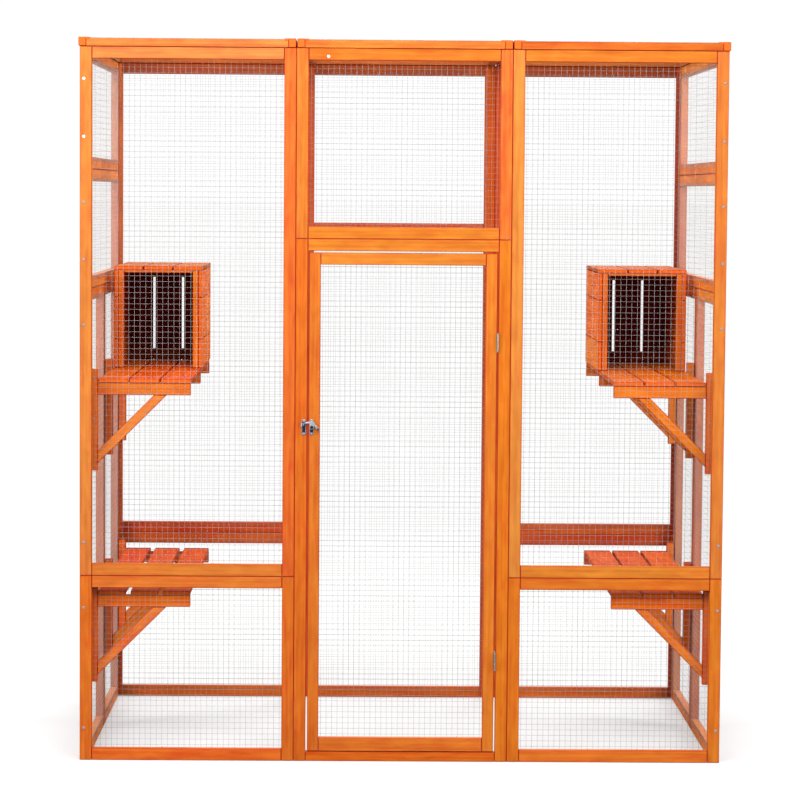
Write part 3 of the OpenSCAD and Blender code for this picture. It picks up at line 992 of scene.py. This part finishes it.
@dataclass(frozen=True)
class PanScrew:
    """A pan-head screw that faces the front, with a sunk recess.

    Its materials are those of a head with a painted glint, the recess in painted shade and a head
    in painted shade.
    """

    head: float = 7.0
    rise: float = 1.2
    taper: float = 0.72
    lip: float = 0.18
    sunk: float = 0.6
    facets: int = 20

    @staticmethod
    def materials() -> list[Material]:
        """The materials in the order of their indices."""
        return [f.material for f in (Finishes.SCREW, Finishes.RECESS, Finishes.DULL_SCREW)]

    def add(self, shape: BMesh, seat: Vector, bright: bool = False) -> None:
        """Adds a screw.

        Args:
            shape: The mesh to add to.
            seat: The middle of the head, on the face that it stands on.
            bright: Whether the head takes the painted glint rather than the painted shade.
        """
        reach = FRONTWARDS * self.rise * MM
        material = 0 if bright else 2
        head = add_round(shape, seat, reach, self.head, self.taper, self.facets, material)
        top = min(head, key=lambda f: f.calc_center_median().y)
        bmesh.ops.inset_region(shape, faces=[top], thickness=self.lip * self.head * MM, depth=0.0)
        for face in grow(shape, [top], reach * -self.sunk, keep=False)[1]:
            face.material_index = 1
        bmesh.ops.delete(shape, geom=[top], context="FACES")


@dataclass
class ShelfBrackets(SubAssembly):
    """Three brackets under a shelf: a batten on the wall, an arm and a sloping brace each."""

    node: str
    side: Side
    tone: Tone
    brace_tone: Tone
    thick: float = 20.0
    arm_h: float = 30.0
    batten_t: float = 20.0
    rise: float = 34.0
    brace_w: float = 23.0
    brace_reach: float = 172.0
    gap: float = 0.3
    screw: PanScrew = PanScrew(4.6)
    screw_drops: tuple[float, ...] = (20.0, 124.0)

    def build(self) -> None:
        """Builds the brackets over their node, with the screws in the battens."""
        work = Joinery(self.node)
        screws = bmesh.new()
        low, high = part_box(self.node)
        out = -self.side.value
        wall, tip = (low.x, high.x) if self.side is Side.LEFT else (high.x, low.x)
        inner = wall + out * self.batten_t * MM
        butt = inner + out * self.gap * MM
        arm_top = high.z - self.rise * MM
        arm_low = arm_top - self.arm_h * MM
        brace_top = arm_low - self.gap * MM
        far_reach = self.brace_reach * MM
        near_reach = far_reach - self.brace_w * math.sqrt(2) * MM
        for y in (low.y, self._middle_y(low.y), high.y - self.thick * MM):
            for start, stop, foot_z, top_z, run in (
                (wall, inner, low.z, high.z, Run.UPRIGHT),
                (butt, tip, arm_low, arm_top, Run.ACROSS),
            ):
                corner = Vector((min(start, stop), y, foot_z))
                other = Vector((max(start, stop), y + self.thick * MM, top_z))
                work.board(corner, other, run, self.tone)
            outline = [
                (butt, y, brace_top - far_reach),
                (butt + out * far_reach, y, brace_top),
                (butt + out * near_reach, y, brace_top),
                (butt, y, brace_top - near_reach),
            ]
            work.shaped(outline, (0, self.thick * MM, 0), (out, 0, 1), self.brace_tone)
            for drop in self.screw_drops:
                self.screw.add(screws, Vector(((wall + inner) / 2, y, high.z - drop * MM)))
        self.place(self.node + "_timber", work.shape, self.node)
        self.place(self.node + "_screws", screws, self.node, PanScrew.materials(), False)

    def _middle_y(self, front: float) -> float:
        """Front face of the middle bracket, at the middle of the cage's depth."""
        low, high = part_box("left_front_frame"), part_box("left_rear_frame")
        return max(front, (low[0].y + high[1].y) / 2 - self.thick / 2 * MM)


@dataclass
class BoxHouse(SubAssembly):
    """A box house on the rear half of an upper shelf.

    Its front has corner stiles and a thin rail over the opening, its sides have three boards each,
    its back has three upright boards with slits and two battens inside them.
    """

    PARTS = ("front", "sides", "back", "roof")
    side: Side
    board_t: float = 10.0
    low_board: float = 77.0
    middle_board: float = 110.0
    joint: float = 0.3
    stile_w: float = 15.0
    head_h: float = 7.0
    batten_h: float = 30.0
    batten_d: float = 20.0
    back_slit: float = 6.5
    roof_slit: float = 3.0
    # The side boards are lightened as painted light.
    walls: Tone = Tone(0.4)
    roof: Tone = Tone(-0.16)
    # Painted shade on the inner faces of the back, which are darkened.
    shaded: Tone = Tone(-0.6, -0.016)

    def build(self) -> None:
        """Builds the house's four nodes, each from the list of its boards."""
        name = f"{self.side.word}_house_"
        front, sides, back, roof = (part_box(name + part) for part in self.PARTS)
        stile, inner = self.stile_w, self.stile_w + self.joint
        thick, free = self.board_t, self.board_t + self.joint
        low_top, high_top = self.low_board, self.low_board + self.joint + self.middle_board
        steps = ((0, low_top), (low_top + self.joint, high_top), (high_top + self.joint, 0))
        rear = inset(back, (0, -thick, 0), (0, 0, 0))
        lists = (
            (
                (inset(front, (0, 0, 0), (stile, 0, 0)), Run.UPRIGHT),
                (inset(front, (-stile, 0, 0), (0, 0, 0)), Run.UPRIGHT),
                (inset(front, (inner, 0, -self.head_h), (-inner, 0, 0)), Run.ACROSS),
            ),
            (
                (inset(sides, (left, 0, foot), (right, 0, top)), Run.DEPTH, self.walls)
                for left, right in ((0, thick), (-thick, 0))
                for foot, top in steps
            ),
            (
                *((board, Run.UPRIGHT) for board in side_by_side(rear, 3, self.back_slit)),
                *(
                    (inset(back, (free, 0, foot), (-free, self.batten_d, top)), Run.ACROSS)
                    for foot, top in ((0, self.batten_h), (-self.batten_h, 0))
                ),
            ),
            ((board, Run.DEPTH, self.roof) for board in side_by_side(roof, 3, self.roof_slit)),
        )
        for part, boards in zip(self.PARTS, lists, strict=True):
            work = Joinery(name + part)
            for box, *look in boards:
                work.board(*box, *look)
            # Paints shade on the back's inner faces.
            if part == "back":
                work.shade(FRONTWARDS, self.shaded)
            self.place(name + part + "_timber", work.shape, name + part)


@dataclass
class FrontScrews(SubAssembly):
    """Screws through the outer posts' and the upper panels' faces."""

    screw: PanScrew = PanScrew()
    from_edge: float = 10.0
    heights: tuple[float, ...] = (1702.0, 1559.0, 1397.0, 1255.0, 1093.0, 549.0, 385.0, 81.0)
    bright_above: float = 1500.0
    transom_x: float = -189.0
    transom_z: float = 1761.0

    def build(self) -> None:
        """Builds the screws on the frames that they hold."""
        materials = PanScrew.materials()
        for side in Side:
            for level in ("upper", "lower"):
                name = f"front_{side.word}_{level}"
                low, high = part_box(f"{name}_frame")
                shape = bmesh.new()
                edge = low.x if side is Side.LEFT else high.x
                x = edge - side.value * self.from_edge * MM
                for height in self.heights:
                    # Only the left's high screws take the painted glint; the rest take the painted
                    # shade.
                    bright = side is Side.LEFT and height > self.bright_above
                    if low.z < height * MM < high.z:
                        self.screw.add(shape, Vector((x, low.y, height * MM)), bright)
                self.place(f"{name}_screws", shape, f"{name}_frame", materials, False)
        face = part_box("transom_frame")[0].y
        shape = bmesh.new()
        self.screw.add(shape, Vector((self.transom_x * MM, face, self.transom_z * MM)), True)
        self.place("transom_screw", shape, "transom_frame", materials, False)


@dataclass
class DoorHinges(SubAssembly):
    """Two butt hinges, whose nodes keep their shape and take the zinc finish."""

    nodes: tuple[str, ...] = ("hinge_frame_leaves", "hinge_door_leaves", "hinge_pins")

    def build(self) -> None:
        """Dresses the hinges."""
        for node in self.nodes:
            data = frame["nodes"][node].data
            data.materials.clear()
            data.materials.append(Finishes.BY_SLOT[self.SLOTS[node]].material)
            LOG.info("%s: node dressed in %s", node, data.materials[0].name)


@dataclass
class HookLatch(SubAssembly):
    """The hook latch: two small round-ended plates, a stud, a pivot, and a hook with a dark knob.

    The plates' dished middles and the pivot's head are near black as painted shade and dark
    reflection, inside rims lightened as a painted highlight. The strap's and the knob's places are
    measured from the pivot, to the right and up.
    """

    plates: tuple[str, str] = ("latch_keeper", "latch_plate")
    hook: str = "latch_hook"
    plate_t: float = 1.5
    plate_trim: float = 0.8
    corner: float = 4.5
    corner_facets: int = 8
    edge: float = 0.35
    rim: float = 1.0
    dish: float = 0.5
    dish_slope: float = 0.4
    screw: PanScrew = PanScrew(6.0, 1.0)
    screw_from_end: float = 4.6
    stud_d: float = 4.0
    stud_up: float = 6.5
    boss_d: float = 8.0
    boss_h: float = 1.6
    head_d: float = 8.6
    head_h: float = 1.4
    head_taper: float = 0.8
    eye_r: float = 5.5
    hole_r: float = 2.1
    hole_facets: int = 24
    strap_t: float = 2.0
    strap_ease: float = 0.3
    strap_tip: Outline = ((-23.2, 2.0), (-26.5, 2.0), (-26.5, 9.3))
    strap_back: Outline = ((-4.0, 14.3), (4.0, 14.3))
    strap_arm: Outline = ((18.3, -2.6), (18.0, -7.2), (13.1, -7.8), (6.8, 4.3))
    strap_under: Outline = ((-5.0, 9.9), (-17.5, 9.3), (-23.2, 9.3))
    knob_at: tuple[float, float] = (15.7, -5.0)
    knob_neck: Triple = (5.0, 1.4, 1.5)  # diameter, taper and length
    knob_grip: Triple = (7.0, 0.8, 3.5)

    def build(self) -> None:
        """Builds the plates with their screws, and the hook."""
        rim, dish = Finishes.PLATE_RIM.material, Finishes.PLATE_DISH.material
        for node in self.plates:
            low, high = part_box(node)
            face = high.y - self.plate_t * MM
            middle = Vector(((low.x + high.x) / 2, face, (low.z + high.z) / 2))
            full = FRONTWARDS * (face - low.y)
            shape = self._plate(low, high)
            if node == self.plates[0]:
                stud = middle + Vector((0, 0, self.stud_up * MM))
                add_round(shape, stud, full, self.stud_d)
            else:
                top = FRONTWARDS * self.head_h * MM
                add_round(shape, middle, FRONTWARDS * self.boss_h * MM, self.boss_d)
                add_round(shape, middle, full - top, self.stud_d)
                head = middle + full - top
                # The pivot's head takes the plates' near black painted shade.
                add_round(shape, head, top, self.head_d, self.head_taper, material=1)
            self.place(f"{node}_piece", shape, node, (rim, dish))
            screws = bmesh.new()
            for z in (low.z + self.screw_from_end * MM, high.z - self.screw_from_end * MM):
                self.screw.add(screws, Vector((middle.x, face, z)))
            self.place(f"{node}_screws", screws, node, PanScrew.materials(), False)
        self._hook()

    def _plate(self, low: Vector, high: Vector) -> BMesh:
        """A round-ended plate whose middle is dished inside a rim.

        Args:
            low: Its node's lowest corner.
            high: Its node's highest corner.

        Returns:
            The plate's mesh, with the dish in the second material.
        """
        shape = bmesh.new()
        trim = 2 * self.plate_trim * MM
        size = Vector((high.x - low.x - trim, self.plate_t * MM, high.z - low.z - trim))
        centre = Vector(((low.x + high.x) / 2, high.y - size.y / 2, (low.z + high.z) / 2))
        add_block(shape, centre, size)
        corners = [e for e in shape.edges if abs((e.verts[0].co - e.verts[1].co).y) > size.y / 2]
        ease_edges(shape, corners, self.corner * MM, self.corner_facets)
        front = min(shape.faces, key=lambda f: f.calc_center_median().y)
        rounded = ease_edges(shape, front.edges, self.edge * MM)
        flat = (f for f in shape.faces if f not in rounded)
        front = min(flat, key=lambda f: f.calc_center_median().y)
        for width, depth in ((self.rim - self.edge, 0.0), (self.dish_slope, -self.dish)):
            bmesh.ops.inset_region(shape, faces=[front], thickness=width * MM, depth=depth * MM)
        # The dish takes the near black painted shade.
        front.material_index = 1
        return shape

    def _hook(self) -> None:
        """Builds the hook: a bent strap with an eye on the pivot, and the knob."""
        low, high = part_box(self.plates[1])
        pivot = Vector(((low.x + high.x) / 2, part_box(self.hook)[1].y, (low.z + high.z) / 2))
        turns = [math.radians(a) for a in range(15, -211, -15)]
        eye = [(self.eye_r * math.cos(a), self.eye_r * math.sin(a)) for a in turns]
        outline = [*self.strap_tip, *self.strap_back, *self.strap_arm, *eye, *self.strap_under]
        turns = [math.tau * i / self.hole_facets for i in range(self.hole_facets)]
        hole = [(self.hole_r * math.cos(a), self.hole_r * math.sin(a)) for a in turns]
        shape = bmesh.new()
        rim: list[BMEdge] = []
        for loop in (outline, hole):
            verts = [shape.verts.new(pivot + Vector((x, 0, z)) * MM) for x, z in loop]
            ends = zip(verts, verts[1:] + verts[:1], strict=True)
            rim += [shape.edges.new(pair) for pair in ends]
        made = bmesh.ops.triangle_fill(shape, use_beauty=True, use_dissolve=False, edges=rim)
        faces = [f for f in made["geom"] if isinstance(f, BMFace)]
        thick = FRONTWARDS * self.strap_t * MM
        moved, _ = grow(shape, faces, thick)
        bmesh.ops.recalc_face_normals(shape, faces=shape.faces)
        sharp = (e for e in shape.edges if e.calc_face_angle(0.0) > 1.0)
        sharp = [e for e in sharp if all(v in moved for v in e.verts)]
        ease_edges(shape, sharp, self.strap_ease * MM)
        seat = pivot + Vector((self.knob_at[0], 0, self.knob_at[1])) * MM + thick
        for wide, taper, length in (self.knob_neck, self.knob_grip):
            reach = FRONTWARDS * length * MM
            add_round(shape, seat, reach, wide, taper, material=1)
            seat = seat + reach
        materials = (Finishes.BY_SLOT[self.SLOTS[self.hook]].material, Finishes.KNOB.material)
        self.place("latch_hook_strap_and_knob", shape, self.hook, materials)


@dataclass(frozen=True)
class SoftLight:
    """A soft rectangular lamp: its place, the point that it faces, its size and its power."""

    name: str
    at: Triple
    towards: Triple
    size: tuple[float, float]
    watts: float

    def build(self) -> None:
        """Adds the lamp to the scene."""
        data = bpy.data.lights.new(self.name, "AREA")
        data.shape = "RECTANGLE"
        data.size, data.size_y = self.size
        data.energy = self.watts
        turn = (Vector(self.towards) - Vector(self.at)).to_track_quat("-Z", "Y")
        lamp = add_object(self.name, data)
        lamp.matrix_world = Matrix.Translation(self.at) @ turn.to_matrix().to_4x4()


@dataclass
class Studio:
    """A white studio: a floor, soft lights, and the camera at the photograph's angle."""

    camera_at: Triple = (-0.10811, -7.91655, 1.42682)
    right: Triple = (0.99988436, -0.01316299, 0.00761568)
    up: Triple = (-0.00668452, 0.06939183, 0.99756709)
    forward: Triple = (0.01365943, 0.99750264, -0.06929581)
    lens: float = 134.48
    sensor: float = 36.0
    view_reach: float = 2000.0
    floor_radius: float = 400.0
    floor_facets: int = 96
    floor_z: float = -0.0004
    ambient: float = 0.5
    backdrop: float = 1.04
    sun_strength: float = 1.8
    sun_spread: float = 75.0
    lamps: tuple[SoftLight, ...] = (
        SoftLight("key_light", (-0.3, -2.9, 3.1), (0.0, -0.3, 1.0), (3.0, 1.0), 122.0),
        SoftLight("high_strip_light", (-0.4, -1.7, 2.7), (-0.1, -0.45, 1.7), (2.4, 0.3), 30.0),
        SoftLight("rear_softbox", (0.4, 3.4, 3.7), (0.0, 0.5, 0.8), (2.6, 1.0), 190.0),
        SoftLight("left_softbox", (-4.2, -1.9, 1.9), (0.0, 0.1, 0.8), (1.8, 2.4), 250.0),
        SoftLight("right_softbox", (4.2, -1.9, 1.9), (0.0, 0.1, 0.8), (1.8, 2.4), 250.0),
    )

    def build(self) -> None:
        """Builds the studio."""
        bpy.context.scene.view_settings.view_transform = "Standard"
        self._camera()
        self._floor()
        self._world()
        for lamp in self.lamps:
            lamp.build()
        # A wide soft light from above keeps the floor white.
        data = bpy.data.lights.new("overhead_light", "SUN")
        data.energy, data.angle = self.sun_strength, math.radians(self.sun_spread)
        add_object("overhead_light", data)

    def _camera(self) -> None:
        """Adds the camera at the photograph's place and angle."""
        data = bpy.data.cameras.new("photo_camera")
        data.lens, data.sensor_width, data.sensor_fit = self.lens, self.sensor, "HORIZONTAL"
        data.clip_end = self.view_reach
        axes = Matrix((self.right, self.up, [-v for v in self.forward])).transposed().to_4x4()
        camera = add_object("photo_camera", data)
        camera.matrix_world = Matrix.Translation(self.camera_at) @ axes
        bpy.context.scene.camera = camera

    def _floor(self) -> None:
        """Adds the floor, a wide disc just under the enclosure."""
        shape = bmesh.new()
        bmesh.ops.create_circle(
            shape,
            cap_ends=True,
            segments=self.floor_facets,
            radius=self.floor_radius,
            matrix=Matrix.Translation((0, 0, self.floor_z)),
        )
        add_mesh("studio_floor", shape, [StudioFloor().material])

    def _world(self) -> None:
        """Adds a white backdrop whose light on the enclosure is dimmer than it looks."""
        world = bpy.data.worlds.new("white_studio")
        world.use_nodes = True
        world.node_tree.nodes.clear()
        add = partial(add_node, world.node_tree)
        path = add("ShaderNodeLightPath").outputs["Is Camera Ray"]
        more = self.backdrop - self.ambient
        strength = add("ShaderNodeMath", path, more, self.ambient, operation="MULTIPLY_ADD")
        light = add("ShaderNodeBackground", WHITE, strength)
        add("ShaderNodeOutputWorld", light)
        bpy.context.scene.world = world


class Enclosure:
    """The whole enclosure: its panels, nets, shelves, houses, hardware and screws.

    The front's boards differ in stain, so each panel lists its members' tones in one order: value,
    hue and saturation in thousandths. All nets are of one wire; the far ones are drawn finer, as
    the white light behind them thins them, and the side nets' wire is drawn paler as painted light.
    """

    SIDE_WIRE_MM = 0.5
    BACK_WIRE_MM = 0.45
    MEMBERS = ("low_stile", "high_stile", "head", "foot")
    FRONT_TONES: dict[str, tuple[tuple[int, ...], ...]] = {
        "left_upper": ((-60, 14, -34), (-30, -9, 8), (-30, 10, -50), (0, 9, -24)),
        "left_lower": ((-70, 4, 12), (-30, -6, 10), (0, 5, -16), (80, -3, 5)),
        "transom": ((-90, 3, -18), (0, 0, 0), (-50, 2, 16), (-80, 12, -16)),
        "doorway": ((-70, 2, 0), (-30, 3, -8), (-20, 14, 0), (0, 0, 0)),
        "door": ((-50, -4, 14), (0, 7, 3), (-50, 10, 0), (100, 4, 7)),
        "right_upper": ((-20, 18, -18), (-80, 12, -18), (-70, 8, -12), (0, 9, 0)),
        "right_lower": ((0, 4, 0), (20, 8, 0), (0, 4, 0), (50, -2, 8)),
    }

    def __init__(self) -> None:
        """Lists the sub-assemblies in the order in which they are built."""
        halves = [f"{side.word}_{level}" for side in Side for level in ("upper", "lower")]
        front = {name: WallPanel(f"front_{name}_frame", Facing.FRONT) for name in halves}
        front["transom"] = WallPanel("transom_frame", Facing.FRONT)
        front["doorway"] = WallPanel("doorway_frame", Facing.FRONT, foot=24.0)
        front["door"] = WallPanel("door_frame", Facing.FRONT, stile=28.0, foot=34.0)
        for name, tones in self.FRONT_TONES.items():
            shifts = (Tone(*(part / 1000 for part in tone)) for tone in tones)
            front[name].tones = dict(zip(self.MEMBERS, shifts, strict=True))
        back = {
            name: WallPanel(f"back_{name}_frame", Facing.BACK)
            for name in (*halves[:2], "transom", "centre", *halves[2:])
        }
        # The back's head rails are darkened as painted shade under the roof.
        for name, value in (("left_upper", -0.38), ("transom", -0.38), ("right_upper", -0.5)):
            back[name].tones = {"head": Tone(value)}
        for name in ("left_lower", "centre", "right_lower"):
            back[name].tones = {"foot": Tone(0.15, 0.008)}
        back["left_upper"].tones["low_stile"] = Tone(0.58, 0.013, -0.02)
        back["left_lower"].tones["low_stile"] = Tone(0.25, -0.002)
        back["right_upper"].tones["high_stile"] = Tone(-0.25)
        # The side walls' head and foot rails are lightened as painted light.
        rails = dict.fromkeys(("head", "foot"), Tone(0.55, 0.006))
        walls = {
            side: [
                WallPanel(f"{side.word}_{name}_frame", Facing[side.name], tones=dict(rails))
                for name in ("top", "middle", "front", "rear")
            ]
            for side in Side
        }
        walls[Side.RIGHT][0].tones["high_stile"] = Tone(0.2, 0.003)
        roof = [
            RoofPanel("roof_left_frame", front=Tone(-0.05, 0.004, -0.045)),
            RoofPanel("roof_centre_frame"),
            RoofPanel("roof_right_frame", front=Tone(-0.12, -0.001, -0.005)),
        ]
        front_net = partial(WireNet, facing=Facing.FRONT)
        back_net = partial(WireNet, facing=Facing.BACK, wire=self.BACK_WIRE_MM)
        side_net = partial(WireNet, wire=self.SIDE_WIRE_MM, finish=Finishes.SIDE_WIRE)
        nets = [
            front_net("front_left_net", frames=[front[name] for name in halves[:2]]),
            front_net("front_right_net", frames=[front[name] for name in halves[2:]]),
            front_net("transom_net", frames=[front["transom"]]),
            front_net("door_net", frames=[front["door"]]),
            back_net("back_left_net", frames=[back[name] for name in halves[:2]]),
            back_net("back_centre_net", frames=[back["transom"], back["centre"]]),
            back_net("back_right_net", frames=[back[name] for name in halves[2:]]),
            side_net("left_side_net", Facing.LEFT, walls[Side.LEFT]),
            side_net("right_side_net", Facing.RIGHT, walls[Side.RIGHT]),
            WireNet("roof_net", Facing.ROOF, roof, lap=20.0),
        ]
        shelves = [
            Shelf("upper_left_shelf", 3.0, Tone(-0.03, -0.001, 0.012)),
            Shelf("upper_right_shelf", 3.0, Tone(0.0, 0.009)),
            Shelf("lower_left_shelf", 13.0, Tone(0.0, -0.006)),
            Shelf("lower_right_shelf", 6.5, Tone(0.0, -0.006)),
        ]
        # The brackets' arms, battens and braces are lightened as painted light inside the cage.
        brackets = [
            ShelfBrackets(f"{level}_{side.word}_brackets", side, tone, brace_tone)
            for level, tone, brace_tone in (
                ("upper", Tone(0.17), Tone(0.2)),
                ("lower", Tone(0.22, -0.007), Tone(0.25, -0.002)),
            )
            for side in Side
        ]
        self.parts: list[SubAssembly] = [
            *front.values(),
            *back.values(),
            *walls[Side.LEFT],
            *walls[Side.RIGHT],
            *roof,
            *nets,
            *shelves,
            *brackets,
            *(BoxHouse(side) for side in Side),
            FrontScrews(),
            DoorHinges(),
            HookLatch(),
        ]

    def build(self) -> None:
        """Builds every sub-assembly."""
        for part in self.parts:
            part.build()


def main() -> None:
    logging.basicConfig(level=logging.INFO, format="%(message)s")
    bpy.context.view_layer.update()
    Enclosure().build()
    Studio().build()


if __name__ == "__main__":
    main()
